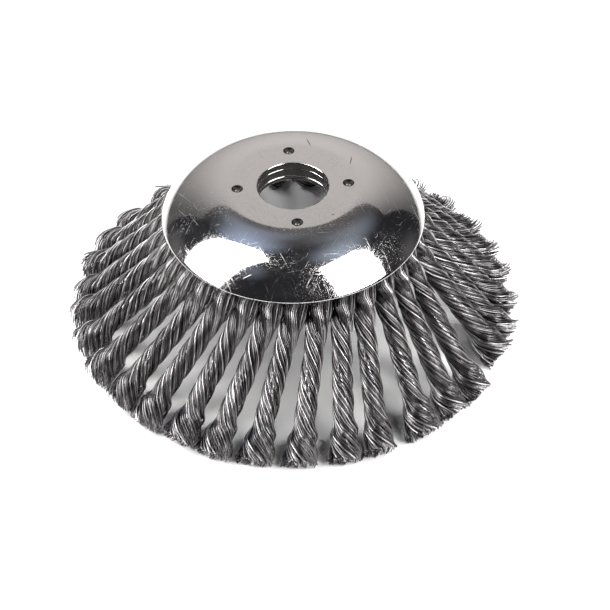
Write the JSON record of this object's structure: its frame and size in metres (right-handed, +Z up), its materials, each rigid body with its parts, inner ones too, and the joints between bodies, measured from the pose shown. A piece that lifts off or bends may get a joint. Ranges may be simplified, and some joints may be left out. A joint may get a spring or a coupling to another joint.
{
  "type": "conical weed brush",
  "caption": "Conical wire weed brush for a brush cutter: polished domed cap with a central bore over a flared ring of twisted wire knots.",
  "frame": {"origin": "on the bore's axis at the level of the surface that the knots' ends stand on", "axes": "+Z up the bore's axis, out of the cap's flat top; +X lies close to the first knot's hole and to one of the four pins"},
  "size_m": [0.1684, 0.1686, 0.0615],
  "materials": {
    "polished_cap": "polished pressed steel with fine scratches",
    "plate_steel": "rolled sheet steel",
    "pin_steel": "swaged steel",
    "knot_wire": "drawn carbon steel wire"
  },
  "bodies": {
    "root": {"guard_cap": "polished_cap", "knot_plate": "plate_steel", "backing_plate": "plate_steel", "clamp_pin_1": "pin_steel", "clamp_pin_2": "pin_steel", "clamp_pin_3": "pin_steel", "clamp_pin_4": "pin_steel", "wire_knot_01": "knot_wire", "wire_knot_02": "knot_wire", "wire_knot_03": "knot_wire", "wire_knot_04": "knot_wire", "wire_knot_05": "knot_wire", "wire_knot_06": "knot_wire", "wire_knot_07": "knot_wire", "wire_knot_08": "knot_wire", "wire_knot_09": "knot_wire", "wire_knot_10": "knot_wire", "wire_knot_11": "knot_wire", "wire_knot_12": "knot_wire", "wire_knot_13": "knot_wire", "wire_knot_14": "knot_wire", "wire_knot_15": "knot_wire", "wire_knot_16": "knot_wire", "wire_knot_17": "knot_wire", "wire_knot_18": "knot_wire", "wire_knot_19": "knot_wire", "wire_knot_20": "knot_wire", "wire_knot_21": "knot_wire", "wire_knot_22": "knot_wire", "wire_knot_23": "knot_wire", "wire_knot_24": "knot_wire", "wire_knot_25": "knot_wire", "wire_knot_26": "knot_wire", "wire_knot_27": "knot_wire", "wire_knot_28": "knot_wire", "wire_knot_29": "knot_wire", "wire_knot_30": "knot_wire", "wire_knot_31": "knot_wire", "wire_knot_32": "knot_wire", "wire_knot_33": "knot_wire"}
  },
  "joints": []
}
